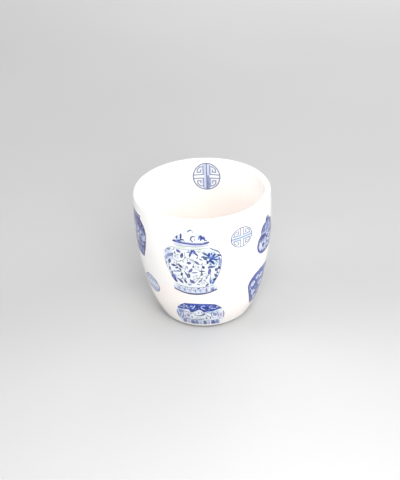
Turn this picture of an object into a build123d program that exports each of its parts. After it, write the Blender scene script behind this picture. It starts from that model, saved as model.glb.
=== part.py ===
# Teacup: a handleless white porcelain tea cup with blue transfer decoration, in millimetres.
# The origin is at the centre of the foot ring's resting face, +Z is up and -Y is the front.
# Each decal is a thin film of its own, fired onto the glaze. It is placed by its azimuth,
# which is 0 at the front and grows towards +X, the right-hand side seen from the front.
from build123d import *
from math import cos, radians, sin
import os

os.makedirs("parts", exist_ok=True)

# --- driving dimensions -------------------------------------------------------------------
cup_height = 81.2          # foot ring's resting face to the top of the lip
rim_radius = 40.0          # outside radius at the lip
wall = 3.6                 # wall thickness at the lip, glaze included
wall_lean = 4.45           # outward lean of the wall just under the lip, degrees
belly_radius = 193.0       # profile arc of the upper wall, and the angle it turns through
belly_turn = 17.1
haunch_radius = 85.5       # profile arc of the lower wall, and the angle it turns through
haunch_turn = 14.3
heel_radius = 2.2          # small round from the wall into the flat underside
well_turn = 3.5            # angle of the inside's lower wall arc, above the well's round
well_radius = 17.0         # round between the inside wall and the inside floor

glaze = 0.25               # thickness of the fired glaze
film = 0.06                # thickness of a transfer decal

foot_radius = 25.0         # foot ring: outside radius, width, and the round of its edges
foot_width = 2.8
foot_round = 0.3
recess_height = 1.9        # resting face up to the clay inside the foot ring
recess_gap = 0.3           # bare clay between the foot ring and the glaze in the recess

fret_radii = (7.2, 6.4)    # fret medallions outside: half the width, and half the height
inner_fret_radii = (8.8, 9.6)          # the larger one inside

# --- where the decals lie: azimuth in degrees, height of the middle, tilt to the left ------
UPPER_ROW = 67.0
LOWER_ROW = 13.7
ginger_jars = {"front": (-9.9, 53.4, 1.7), "back": (140.0, 53.4, 0.0)}
fish_bowls = {"front": (-7.0, LOWER_ROW, 0.0), "back": (176.0, LOWER_ROW, 0.0)}
round_pots = {"right": (64.5, 58.7, 0.0), "back": (215.0, 58.7, 0.0)}
prunus_vases = {"right": (62.0, 24.4, 0.0), "back": (232.0, 24.4, 0.0)}
baluster_jars = {"left": (-71.0, 60.9, 0.0)}
fret_rounds = {
    "front_right": (31.4, UPPER_ROW, 0.0),
    "front_left": (-57.2, 29.7, 0.0),
    "right_upper": (102.0, UPPER_ROW, 0.0),
    "right_lower": (106.0, 24.5, 0.0),
    "back_upper": (181.0, UPPER_ROW, 0.0),
    "left_upper": (252.0, UPPER_ROW, 0.0),
}
inner_fret_place = (174.7, 69.3, 0.0)

# --- worked out ---------------------------------------------------------------------------
lip_round = wall / 2
lip_center = Vector(rim_radius - lip_round, cup_height - lip_round)
across_lip = Vector(cos(radians(wall_lean)), sin(radians(wall_lean)))
down_the_wall = Vector(sin(radians(wall_lean)), -cos(radians(wall_lean)))
heel_turn = 90 + wall_lean - belly_turn - haunch_turn
well_round_turn = 90 + wall_lean - belly_turn - well_turn
outline_reach = rim_radius + wall      # from the axis to well outside the belly


def outer_wall(inset):
    """Tangent arcs from the lip to the underside, `inset` mm into the clay from the glaze."""
    start = lip_center + across_lip * (lip_round - inset)
    belly = JernArc(start, down_the_wall, belly_radius - inset, -belly_turn)
    haunch = JernArc(belly @ 1, belly % 1, haunch_radius - inset, -haunch_turn)
    heel = JernArc(haunch @ 1, haunch % 1, heel_radius - inset, -heel_turn)
    return start, heel @ 1


def inner_wall(inset):
    """Tangent arcs from the lip to the inside floor, `inset` mm into the clay."""
    start = lip_center - across_lip * (lip_round - inset)
    upper = JernArc(start, down_the_wall, belly_radius - wall + inset, -belly_turn)
    lower = JernArc(upper @ 1, upper % 1, haunch_radius - wall + inset, -well_turn)
    well = JernArc(lower @ 1, lower % 1, well_radius + inset, -well_round_turn)
    return start, well @ 1


def cup_face(inset):
    """Half section of the cup with its glazed surfaces moved `inset` mm into the clay."""
    with BuildSketch() as section:
        with BuildLine():
            outer_start, heel_end = outer_wall(inset)
            inner_start, well_end = inner_wall(inset)
            lip_top = lip_center + Vector(0, lip_round - inset)
            ThreePointArc(outer_start, lip_top, inner_start)
            Polyline(
                heel_end,
                (foot_radius, heel_end.Y),
                (foot_radius, 0),
                (foot_radius - foot_width, 0),
                (foot_radius - foot_width, recess_height),
                (0, recess_height),
                (0, well_end.Y),
                well_end,
            )
        make_face()
    return section.sketch


def film_face(wall_arcs):
    """Half section of a transfer film's thickness on the outer or the inner wall."""
    with BuildSketch() as section:
        with BuildLine():
            glaze_start, glaze_end = wall_arcs(0)
            film_start, film_end = wall_arcs(-film)
            Line(glaze_start, film_start)
            Line(glaze_end, film_end)
        make_face()
    return section.sketch


def decal_plane(azimuth, height, tilt):
    """Upright plane through the cup's axis that faces a decal, centred at its height."""
    a = radians(azimuth)
    facing = Plane(origin=(0, 0, height), x_dir=(cos(a), sin(a), 0), z_dir=(sin(a), -cos(a), 0))
    return facing.rotated((0, 0, tilt))


# --- decal outlines, each about the middle of its motif -------------------------------------
with BuildSketch() as ginger_jar:
    with BuildLine():
        ThreePointArc((0, -22.4), (6.4, -21.6), (12.6, -19.2))
        ThreePointArc((12.6, -19.2), (12.6, -16.8), (11.2, -13.4))
        ThreePointArc((11.2, -13.4), (15.3, -4.6), (16.8, 4.0))
        ThreePointArc((16.8, 4.0), (15.3, 8.8), (10.4, 11.5))
        Polyline((10.4, 11.5), (9.7, 12.9), (10.6, 14.2), (10.3, 15.3))
        ThreePointArc((10.3, 15.3), (7.4, 19.0), (1.9, 20.5))
        ThreePointArc((1.9, 20.5), (1.8, 22.0), (0, 22.8))
        mirror(about=Plane.YZ)
    make_face()

with BuildSketch() as fish_bowl:
    with BuildLine():
        ThreePointArc((0, 10.2), (4.4, 10.1), (8.4, 9.5))
        ThreePointArc((8.4, 9.5), (13.1, 4.8), (14.3, -1.0))
        ThreePointArc((14.3, -1.0), (13.3, -6.2), (10.6, -10.0))
        Line((10.6, -10.0), (0, -10.0))
        mirror(about=Plane.YZ)
    make_face()

with BuildSketch() as round_pot:
    with BuildLine():
        Line((0, -11.0), (4.4, -11.0))
        ThreePointArc((4.4, -11.0), (11.2, -3.8), (7.8, 2.6))
        ThreePointArc((7.8, 2.6), (7.0, 6.8), (2.3, 8.8))
        ThreePointArc((2.3, 8.8), (2.2, 10.6), (0, 11.7))
        mirror(about=Plane.YZ)
    make_face()

with BuildSketch() as prunus_vase:
    with BuildLine():
        Line((0, -13.2), (5.6, -13.2))
        ThreePointArc((5.6, -13.2), (10.2, -3.8), (13.0, 3.8))
        ThreePointArc((13.0, 3.8), (11.3, 9.3), (4.4, 12.0))
        Polyline((4.4, 12.0), (4.4, 13.2), (0, 13.2))
        mirror(about=Plane.YZ)
    make_face()

with BuildSketch() as baluster_jar:
    with BuildLine():
        Line((0, -13.7), (6.6, -13.7))
        ThreePointArc((6.6, -13.7), (10.3, -5.8), (11.9, 1.6))
        ThreePointArc((11.9, 1.6), (10.7, 7.9), (6.4, 11.4))
        Polyline((6.4, 11.4), (6.8, 13.4), (0, 13.4))
        mirror(about=Plane.YZ)
    make_face()

with BuildSketch() as fret_round:
    Ellipse(*fret_radii)

with BuildSketch() as inner_fret_round:
    Ellipse(*inner_fret_radii)


# --- ceramics -------------------------------------------------------------------------------
with BuildPart() as cup_body:
    with BuildSketch(Plane.XZ):
        add(cup_face(glaze))
    revolve(axis=Axis.Z)
    fillet(cup_body.edges().group_by(Axis.Z)[0], foot_round)

with BuildPart() as glaze_coat:
    with BuildSketch(Plane.XZ):
        add(cup_face(0))
    revolve(axis=Axis.Z)
    with BuildSketch(Plane.XZ):
        add(cup_face(glaze))
    revolve(axis=Axis.Z, mode=Mode.SUBTRACT)

with BuildPart() as underside_glaze:
    with BuildSketch(Plane.XY.offset(recess_height)):
        Circle(foot_radius - foot_width - recess_gap)
    extrude(amount=-glaze)

for name, piece in {
    "cup_body": cup_body,
    "glaze_coat": glaze_coat,
    "underside_glaze": underside_glaze,
}.items():
    piece.part.label = name
    export_step(piece.part, f"parts/{name}.step")

# --- decals -----------------------------------------------------------------------------------
decals = {}
for motif, outline, places in (
    ("ginger_jar", ginger_jar, ginger_jars),
    ("fish_bowl", fish_bowl, fish_bowls),
    ("round_pot", round_pot, round_pots),
    ("prunus_vase", prunus_vase, prunus_vases),
    ("baluster_jar", baluster_jar, baluster_jars),
    ("fret_round", fret_round, fret_rounds),
):
    for where, place in places.items():
        decals[f"{motif}_decal_{where}"] = (outer_wall, outline, place)
decals["fret_round_decal_inside"] = (inner_wall, inner_fret_round, inner_fret_place)

for name, (wall_arcs, outline, place) in decals.items():
    with BuildPart() as decal:
        with BuildSketch(Plane.XZ):
            add(film_face(wall_arcs))
        revolve(axis=Axis.Z)
        facing = decal_plane(*place)
        with BuildSketch(facing):
            add(outline.sketch)
        extrude(amount=outline_reach, dir=facing.z_dir, mode=Mode.INTERSECT)
    decal.part.label = name
    export_step(decal.part, f"parts/{name}.step")
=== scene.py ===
"""Looks of the teacup: glaze, bare foot and painted transfer decals around the fixed CAD frame.

Drawn lengths are in millimetres and turn into metres where a mesh is made. A motif is drawn
flat, about its own middle, as painted shapes. They are cut into one triangle mesh, in which the
topmost shape gives the tone, and that mesh is laid on the cup's wall as a film.
"""
import math
import random

import bpy
from mathutils import Matrix, Vector
from mathutils.geometry import delaunay_2d_cdt


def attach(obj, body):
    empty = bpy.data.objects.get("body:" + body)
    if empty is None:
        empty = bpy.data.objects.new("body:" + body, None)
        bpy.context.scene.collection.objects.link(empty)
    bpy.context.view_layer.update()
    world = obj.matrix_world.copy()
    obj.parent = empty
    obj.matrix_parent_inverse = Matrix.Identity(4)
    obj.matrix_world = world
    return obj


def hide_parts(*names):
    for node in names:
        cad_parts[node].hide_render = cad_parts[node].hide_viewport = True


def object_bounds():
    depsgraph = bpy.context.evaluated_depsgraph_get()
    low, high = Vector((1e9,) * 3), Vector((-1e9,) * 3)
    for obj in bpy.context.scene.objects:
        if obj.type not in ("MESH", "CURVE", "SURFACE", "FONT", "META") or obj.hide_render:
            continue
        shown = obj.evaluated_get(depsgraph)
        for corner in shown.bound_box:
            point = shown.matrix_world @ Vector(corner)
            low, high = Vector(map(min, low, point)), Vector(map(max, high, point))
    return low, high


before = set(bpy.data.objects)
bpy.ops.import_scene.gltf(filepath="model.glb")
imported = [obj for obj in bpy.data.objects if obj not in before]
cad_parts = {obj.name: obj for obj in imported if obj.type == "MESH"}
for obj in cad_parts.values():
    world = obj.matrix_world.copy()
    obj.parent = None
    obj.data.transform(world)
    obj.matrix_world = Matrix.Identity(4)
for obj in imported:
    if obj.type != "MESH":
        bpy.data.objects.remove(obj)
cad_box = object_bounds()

MM = 0.001

# --- the cup's driving dimensions, the same as the CAD's ---
CUP_HEIGHT = 81.2
RIM_RADIUS = 40.0
WALL = 3.6
WALL_LEAN = 4.45
BELLY = (193.0, 17.1)          # each wall arc: radius, and the angle it turns through
HAUNCH = (85.5, 14.3)
HEEL_RADIUS = 2.2
WELL_TURN = 3.5
WELL_RADIUS = 17.0
GLAZE = 0.25
FILM = 0.06
FOOT_RADIUS = 25.0
FRET_RADII = (7.2, 6.4)
INNER_FRET_RADII = (8.8, 9.6)

# --- where the decals lie: azimuth in degrees, height of the middle, tilt to the left ---
UPPER_ROW = 67.0
LOWER_ROW = 13.7
PLACES = {
    "ginger_jar_decal_front": (-9.9, 53.4, 1.7),
    "ginger_jar_decal_back": (140.0, 53.4, 0.0),
    "fish_bowl_decal_front": (-7.0, LOWER_ROW, 0.0),
    "fish_bowl_decal_back": (176.0, LOWER_ROW, 0.0),
    "round_pot_decal_right": (64.5, 58.7, 0.0),
    "round_pot_decal_back": (215.0, 58.7, 0.0),
    "prunus_vase_decal_right": (62.0, 24.4, 0.0),
    "prunus_vase_decal_back": (232.0, 24.4, 0.0),
    "baluster_jar_decal_left": (-71.0, 60.9, 0.0),
    "fret_round_decal_front_right": (31.4, UPPER_ROW, 0.0),
    "fret_round_decal_front_left": (-57.2, 29.7, 0.0),
    "fret_round_decal_right_upper": (102.0, UPPER_ROW, 0.0),
    "fret_round_decal_right_lower": (106.0, 24.5, 0.0),
    "fret_round_decal_back_upper": (181.0, UPPER_ROW, 0.0),
    "fret_round_decal_left_upper": (252.0, UPPER_ROW, 0.0),
    "fret_round_decal_inside": (174.7, 69.3, 0.0),
}

# --- cobalt tones: colour and the darker colour it gathers into, as 0-255 sRGB ---
TONES = {
    "royal": ((52, 80, 186), (36, 56, 150)),
    "deep": ((46, 70, 160), (30, 46, 118)),
    "bright": ((92, 134, 220), (66, 104, 194)),
    "mid": ((96, 112, 182), (74, 88, 156)),
    "violet": ((86, 86, 162), (62, 62, 130)),
    "ink": ((66, 72, 124), (46, 52, 96)),
    "steel": ((96, 108, 146), (74, 86, 124)),
    "slate": ((110, 115, 138), (88, 93, 117)),
    "soft": ((146, 158, 204), (122, 136, 186)),
    "line": ((122, 134, 172), (100, 112, 152)),
    "grey": ((158, 164, 184), (138, 145, 168)),
    "wash": ((206, 217, 241), (188, 203, 233)),
    "pale": ((214, 224, 244), (202, 214, 240)),
    "lilac": ((226, 223, 242), (213, 208, 235)),
    "sea": ((214, 230, 240), (198, 219, 234)),
    "green": ((140, 154, 146), (120, 136, 130)),
    "pale_green": ((220, 230, 212), (208, 221, 201)),
    "ground": ((244, 247, 252), (237, 242, 251)),
}
INK_DEPTH = 0.86               # the share of the light that the fired colours give back
LONGEST_EDGE = 1.0             # of a drawn shape, so that it follows the wall's curve
GRID = 1.1                     # spacing of the points that are added inside the shapes
TOLERANCE = 1e-3               # where drawn edges meet
DECIMALS = 5                   # flat points that agree so far are one point
ON_AXIS = 1e-6                 # a distance from the axis that counts as none
SINK = GLAZE / 8               # a film's lower face, below the glaze's surface


# --- small maths ---
def linear(rgb, strength=1.0):
    """0-255 sRGB to linear red, green, blue, alpha."""
    channels = [strength * ((c / 255 + 0.055) / 1.055) ** 2.4 for c in rgb]
    return (*channels, 1.0)


def polar(length, degrees):
    a = math.radians(degrees)
    return Vector((length * math.cos(a), length * math.sin(a)))


def turned(point, degrees):
    return Vector(point) @ Matrix.Rotation(-math.radians(degrees), 2)


def arc_through(a, b, c, steps=14):
    """Points along the circle arc from a through b to c, without the last."""
    a, b, c = Vector(a), Vector(b), Vector(c)
    d = 2 * (a.x * (b.y - c.y) + b.x * (c.y - a.y) + c.x * (a.y - b.y))
    centre = Vector((
        (a.length_squared * (b.y - c.y) + b.length_squared * (c.y - a.y)
         + c.length_squared * (a.y - b.y)) / d,
        (a.length_squared * (c.x - b.x) + b.length_squared * (a.x - c.x)
         + c.length_squared * (b.x - a.x)) / d,
    ))
    start = math.atan2(*(a - centre).yx)
    middle = (math.atan2(*(b - centre).yx) - start) % math.tau
    sweep = (math.atan2(*(c - centre).yx) - start) % math.tau
    if middle > sweep:
        sweep -= math.tau
    radius = (a - centre).length
    angles = [start + sweep * i / steps for i in range(steps)]
    return [centre + Vector((radius * math.cos(t), radius * math.sin(t))) for t in angles]


def arcs_through(*points):
    """Points along arcs that run on from each other: start, through, end, through, end and so on."""
    path = []
    for a, b, c in zip(points[::2], points[1::2], points[2::2]):
        path += arc_through(a, b, c)
    return path + [Vector(points[-1])]


def smooth_path(points, closed=False, steps=6):
    """A Catmull-Rom curve through the points."""
    points = [Vector(p) for p in points]
    count = len(points)
    ends = count if closed else count - 1
    path = []
    for i in range(ends):
        if closed:
            p0, p1, p2, p3 = (points[(i + k) % count] for k in (-1, 0, 1, 2))
        else:
            p0, p1, p2, p3 = (points[min(max(i + k, 0), count - 1)] for k in (-1, 0, 1, 2))
        for step in range(steps):
            t = step / steps
            path.append(0.5 * (2 * p1 + (p2 - p0) * t + (2 * p0 - 5 * p1 + 4 * p2 - p3) * t * t
                               + (3 * p1 - p0 - 3 * p2 + p3) * t ** 3))
    if not closed:
        path.append(points[-1])
    return path


# --- the drawing kit ---
class Drawing:
    """Painted shapes in millimetres. The first shape is the decal's outline and clips the rest."""

    def __init__(self, outline, ground="ground"):
        self.shapes = []
        self.fill(ground, outline)

    def fill(self, tone, points):
        points = [Vector(p) for p in points]
        if sum(a.x * b.y - b.x * a.y for a, b in zip(points, points[1:] + points[:1])) < 0:
            points.reverse()
        outline = []
        for a, b in zip(points, points[1:] + points[:1]):
            parts = math.ceil((b - a).length / LONGEST_EDGE)
            outline += [a.lerp(b, i / parts) for i in range(parts)]
        self.shapes.append((tone, outline))

    def blob(self, tone, points, steps=5):
        self.fill(tone, smooth_path(points, closed=True, steps=steps))

    def oval(self, tone, centre, width, height=None, angle=0.0, steps=24):
        height = width if height is None else height
        ring = [(width / 2 * math.cos(math.tau * i / steps),
                height / 2 * math.sin(math.tau * i / steps)) for i in range(steps)]
        self.fill(tone, [Vector(centre) + turned(p, angle) for p in ring])

    def stroke(self, tone, points, width, taper=0.35, steps=6):
        """A brush line: full width in the middle, `taper` of it at the ends."""
        path = smooth_path(points, steps=steps)
        sides = []
        for i, p in enumerate(path):
            along = path[min(i + 1, len(path) - 1)] - path[max(i - 1, 0)]
            across = Vector((-along.y, along.x)).normalized()
            t = i / (len(path) - 1)
            half = width / 2 * (taper + (1 - taper) * math.sin(math.pi * t) ** 0.5)
            sides.append((p + across * half, p - across * half))
        for (a, b), (c, d) in zip(sides, sides[1:]):
            self.fill(tone, [a, b, d, c])

    def sides(self, tone, points, width, taper):
        """The same brush line on the left and on the right."""
        for side in (-1, 1):
            self.stroke(tone, [(u * side, v) for u, v in points], width, taper)

    def ring(self, tone, centre, radius, width, start=0, end=360, steps=48):
        spans = max(4, round(steps * (end - start) / 360))
        angles = [start + (end - start) * i / spans for i in range(spans + 1)]
        for a, b in zip(angles, angles[1:]):
            corners = [polar(radius - width / 2, a), polar(radius + width / 2, a),
                       polar(radius + width / 2, b), polar(radius - width / 2, b)]
            self.fill(tone, [Vector(centre) + p for p in corners])

    def leaf(self, tone, centre, length, width, angle, vein=None):
        """A leaf that is pointed at both ends, with a fine line along it if `vein` gives a tone."""
        steps = 8
        upper, lower = [], []
        for i in range(steps + 1):
            t = i / steps
            x = (t - 0.5) * length
            half = width / 2 * math.sin(math.pi * t) ** 0.75 if 0 < i < steps else 0.0
            upper.append((x, half))
            lower.append((x, -half))
        outline = lower + upper[-2:0:-1]
        self.fill(tone, [Vector(centre) + turned(p, angle) for p in outline])
        if vein:
            spine = [(-0.42 * length, 0), (0, 0), (0.36 * length, 0)]
            self.stroke(vein, [Vector(centre) + turned(p, angle) for p in spine], width * 0.14)

    def leaves(self, rows, vein=None):
        """One leaf for each row of (u, v, length, width, angle, tone)."""
        for u, v, length, width, angle, tone in rows:
            self.leaf(tone, (u, v), length, width, angle, vein)

    def spray(self, tone, centre, count, length, width, start, reach):
        """Petals fanned evenly about a point."""
        for i in range(count):
            angle = start + 360 * i / count
            self.leaf(tone, Vector(centre) + polar(reach * length, angle), length, width, angle)

    def blossom(self, petal, heart, centre, radius, start=0.0, edge=None):
        """A five-petalled prunus flower."""
        middles = [Vector(centre) + polar(radius * 0.56, start + 72 * i) for i in range(5)]
        if edge:
            for middle in middles:
                self.oval(edge, middle, radius * 1.22, steps=16)
        for middle in middles:
            self.oval(petal, middle, radius * 0.92, steps=16)
        self.oval(petal, centre, radius * 0.7, steps=12)
        for i in range(5):
            self.oval(heart, Vector(centre) + polar(radius * 0.4, start + 36 + 72 * i),
                      radius * 0.15, steps=8)
        self.oval(heart, centre, radius * 0.3, steps=10)

    def curl(self, tone, centre, radius, width, start):
        """A spiral scroll that winds in to its centre."""
        count, turns = 9, 1.25
        points = []
        for i in range(count):
            t = i / (count - 1)
            points.append(Vector(centre) + polar(radius * (1 - 0.72 * t), start + 360 * turns * t))
        self.stroke(tone, points, width, taper=0.6, steps=4)


def mirrored(half):
    """A closed outline from its right-hand half, which runs from the bottom up to the axis."""
    left = [Vector((-p[0], p[1])) for p in half]
    return [Vector(p) for p in half] + [p for p in left[::-1] if p.x < -ON_AXIS]


# --- decal outlines, the same as the CAD's ---
def ginger_jar_outline():
    return mirrored(
        arcs_through((0, -22.4), (6.4, -21.6), (12.6, -19.2), (12.6, -16.8), (11.2, -13.4),
                     (15.3, -4.6), (16.8, 4), (15.3, 8.8), (10.4, 11.5))
        + [(9.7, 12.9), (10.6, 14.2)]
        + arcs_through((10.3, 15.3), (7.4, 19), (1.9, 20.5), (1.8, 22), (0, 22.8)))


def fish_bowl_outline():
    return mirrored(
        arcs_through((10.6, -10), (13.3, -6.2), (14.3, -1), (13.1, 4.8), (8.4, 9.5),
                     (4.4, 10.1), (0, 10.2)))


def round_pot_outline():
    return mirrored(
        arcs_through((4.4, -11), (11.2, -3.8), (7.8, 2.6), (7, 6.8), (2.3, 8.8),
                     (2.2, 10.6), (0, 11.7)))


def prunus_vase_outline():
    return mirrored(
        arcs_through((5.6, -13.2), (10.2, -3.8), (13, 3.8), (11.3, 9.3), (4.4, 12)) + [(4.4, 13.2)])


def baluster_jar_outline():
    return mirrored(
        arcs_through((6.6, -13.7), (10.3, -5.8), (11.9, 1.6), (10.7, 7.9), (6.4, 11.4))
        + [(6.8, 13.4)])


def oval_outline(radii, steps=72):
    return [Vector((radii[0] * math.cos(math.tau * i / steps),
            radii[1] * math.sin(math.tau * i / steps))) for i in range(steps)]


# --- the motifs ---
def draw_ginger_jar():
    """Covered jar: florets on the lid, a flowering vine on the body, a washed foot band."""
    art = Drawing(ginger_jar_outline())

    # pale washes under everything
    art.blob("sea", [(6.4, 6.6), (9.5, 8.6), (13.6, 7.6), (15.2, 3.2), (13.8, -1.6), (11, -3.4),
                     (9, -0.6)])
    art.blob("pale", [(-15.6, 5.6), (-13.2, 8.4), (-11.4, 6), (-12.2, 1), (-14.4, 0)])
    art.blob("ground", [(-12.6, -2.6), (-9.6, -2), (-8.4, -4.2), (-10.4, -6.4), (-12.8, -5.4)])
    art.blob("wash", [(-12.8, -8), (-9.8, -8.6), (-9.6, -12.4), (-11.6, -13.2)])
    art.blob("sea", [(8.4, -10.6), (11, -9.6), (10.8, -14), (8.8, -14.6)])
    for u, v, width in ((-5.6, 11.1, 6.6), (3.4, 11.1, 8.4)):
        art.oval("pale_green", (u, v), width, 1.3)
    art.stroke("lilac", [(-9.8, 12.9), (0, 12.2), (9.8, 12.8)], 1, taper=0.8)
    art.stroke("wash", [(-9.4, 13.6), (0, 12.7), (9.4, 13.4)], 0.6, taper=0.8)
    art.stroke("line", [(-9.2, 12.3), (0, 11.9), (9.4, 12.2)], 0.3, taper=0.8)
    art.stroke("grey", [(-9.4, 10.4), (-4, 9.9), (2, 10.1), (9.8, 10.8)], 0.35, taper=0.8)

    # lid: florets, a scroll, the rim and the knob
    art.stroke("grey", [(-9.9, 15.6), (-7.6, 18.3), (-1.9, 20.4)], 0.26)
    art.stroke("grey", [(1.9, 20.4), (7.6, 18.3), (9.9, 15.6)], 0.26)
    art.stroke("line", [(-1.3, 20.9), (-0.7, 21.7), (0.5, 22.35), (1.1, 22.1)], 0.95)
    art.stroke("grey", [(1.1, 22.1), (1.6, 21.2), (1.4, 20.5)], 0.5)
    art.blob("wash", [(-8.4, 15.2), (-7.4, 17.6), (-6.2, 17.6), (-5.4, 16), (-6.6, 15)])
    art.blob("bright", [(-8.2, 14.8), (-7.6, 15.7), (-5.6, 15.5), (-4.4, 14.6), (-6.4, 14.2)])
    art.leaves((
        (-7.6, 17.4, 2.5, 1.1, 66, "ink"), (-5.2, 18.2, 4.4, 1.15, 84, "deep"),
        (-4.9, 16.1, 3.2, 0.9, 8, "ink"), (-6.5, 15.3, 3, 1.1, 160, "deep"),
        (-3.7, 15.4, 1.6, 0.6, 150, "steel"), (-9.3, 15.1, 2.8, 1.15, 16, "ink")))
    art.stroke("steel", [(2.8, 18), (1.6, 18.5), (0.5, 17.6), (0.3, 16.1), (1.5, 15.1)], 0.9)
    art.leaves((
        (2.3, 16.4, 1.8, 0.6, 100, "soft"), (4.6, 19.1, 2.2, 1.3, 20, "sea"),
        (5.2, 18, 3, 1.2, 62, "mid"), (6.4, 17.7, 3.2, 1.3, 118, "deep"),
        (5.9, 16.7, 2.6, 1.15, 76, "deep"), (7.7, 16.7, 3.4, 1.15, 102, "violet"),
        (4.6, 16.7, 1.6, 0.8, 40, "soft"), (8.7, 15.6, 1.6, 0.7, 130, "line")))
    art.stroke("soft", [(-8.6, 15), (-4, 14.5), (0.6, 14.3), (6, 14.2), (9.8, 14.8)], 0.6, taper=0.6)
    art.stroke("violet", [(-10.2, 14.8), (-6.5, 14.2), (0.6, 13.5), (6, 13.4), (10.2, 14.2)], 0.85,
               taper=0.7)
    art.stroke("steel", [(7.4, 13.9), (10.3, 14.5)], 0.9, taper=0.7)

    # body: the edge of the jar, and the vine's stems and tendrils
    art.stroke("steel", [(10, 10.9), (12.4, 9.2), (14.4, 8), (15.5, 6.2)], 0.75)
    art.stroke("soft", [(15.6, 6), (16.2, 3.6), (15.8, 0), (14.8, -5.4), (13, -9.6), (11.2, -13.4)],
               0.55)
    art.stroke("grey", [(-10.2, 11), (-13.6, 9.4), (-15.6, 7)], 0.5)
    art.stroke("grey", [(-16.2, 3.6), (-15.6, -1.4), (-14.6, -4.4)], 0.4)
    art.stroke("soft", [(-13.9, -6.4), (-12.6, -9.6), (-11.2, -13.4)], 0.45)
    for stem in ([(-9.6, 11.2), (-9.9, 9.4), (-11.6, 8.2)],
                 [(-4, 8.4), (-3.9, 4.6), (-5.6, 2.4), (-8.8, 1.6), (-11.2, 3.4), (-10.6, 6.4)],
                 [(-3.9, 4.6), (-1.6, 3.8), (1.4, 2.4), (3.4, 0.6), (5.8, -0.6)],
                 [(1.4, 2.4), (0.4, -0.8), (-0.6, -2.6), (-2.6, -6), (-2.2, -9.4)],
                 [(-8.8, 1.6), (-9.4, -0.8), (-8.6, -2.6), (-7, -5.4), (-6.4, -9), (-7.6, -11.2)],
                 [(10.8, 3.2), (9.4, -0.4), (8.8, -3.2), (9.6, -7.8), (9, -11.2)],
                 [(5.8, -0.6), (4.8, -3.4), (4.6, -5.8), (3, -9.4), (0.2, -12.8), (-3.4, -13.4)],
                 [(3, -9.4), (5.8, -11.6), (8.2, -14.4)],
                 [(-13.4, 1.4), (-14, -2.4), (-12.8, -6.8), (-12, -9.4)],
                 [(0.8, 8.2), (4.2, 8.8), (7.2, 7.6), (10.8, 3.2)],
                 [(14.9, 0.6), (13.8, -3.4), (12.6, -7.6), (11.4, -11.2)]):
        art.stroke("green", stem, 0.42, taper=0.6)
    for centre, radius, start in (((-8.6, 4.6), 1.7, 40), ((-0.2, 3), 1.4, 200),
                                  ((6.2, -7.6), 1.7, 300), ((-5.2, -10.4), 1.3, 120),
                                  ((2.4, -2.2), 1.6, 20), ((-5, -1.8), 1.5, 150),
                                  ((12.6, -0.4), 1.2, 70), ((0.6, -8.8), 1.5, 250),
                                  ((5, -13.2), 1.2, 100)):
        art.curl("grey", centre, radius, 0.34, start)

    # body: small leaflets between the leaves
    rng = random.Random(4)
    clearance, chrysanthemum = 1.7, (10.8, 3.4)
    taken = [Vector(leaf[:2]) for leaf in JAR_LEAVES] + [Vector(chrysanthemum)]
    for _ in range(150):
        spot = Vector((rng.uniform(-15.4, 15.4), rng.uniform(-14.6, 10)))
        turn = rng.uniform(0, 180)
        tone = rng.choice(("grey", "line", "green", "steel"))
        half_width = 15.4 - 0.02 * (spot.y - 3.4) ** 2
        if abs(spot.x) < half_width and all((spot - other).length > clearance for other in taken):
            taken.append(spot)
            art.leaf(tone, spot, 1.5, 0.55, turn)

    # body: the central palmette and the chrysanthemum
    art.leaves((
        (0, 8.2, 3.8, 1.6, 62, "mid"), (1.7, 8.5, 3.4, 1.5, 104, "mid"),
        (-0.9, 6.6, 4, 1.2, 76, "steel"), (2.7, 7, 3.6, 1.2, 124, "steel"),
        (-1.8, 8.3, 2.4, 0.9, 6, "soft"), (0.9, 7.2, 2.2, 0.9, 96, "wash"),
        (0.3, 9.2, 1.8, 0.8, 88, "deep")))
    art.oval("bright", (11, 4.1), 3, 2.2, angle=20)
    art.leaves((
        (9.6, 6.1, 3.4, 1.5, 84, "deep"), (12.2, 5.6, 3.4, 1.3, 60, "deep"),
        (12.9, 2.7, 3.6, 1.3, -14, "deep"), (11.1, 1.1, 4.2, 1.5, -58, "deep"),
        (9.9, 2.4, 2.6, 1.25, 60, "royal"), (13.5, 4.4, 2.6, 1.1, 18, "mid"),
        (8.4, 4.5, 2.8, 1.2, -20, "steel"), (8.7, 5.9, 2.4, 1, -48, "deep"),
        (13.4, 1.3, 2.4, 0.8, -62, "green"), (11, 6.6, 2.4, 1, 100, "mid"),
        (10.9, 3.3, 2.6, 1.2, 8, "deep"), (12.4, 4, 2, 0.8, 40, "royal"),
        (10.2, -0.4, 1.8, 0.8, -96, "steel")))
    art.oval("bright", (10.9, 4.5), 1.3, 0.9)

    # body: the leaves
    for u, v, length, width, angle, tone in JAR_LEAVES:
        vein = "soft" if width > VEINED_WIDTH else None
        art.leaf(tone, (u, v), LEAF_SCALE[0] * length, LEAF_SCALE[1] * width, angle, vein)

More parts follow.
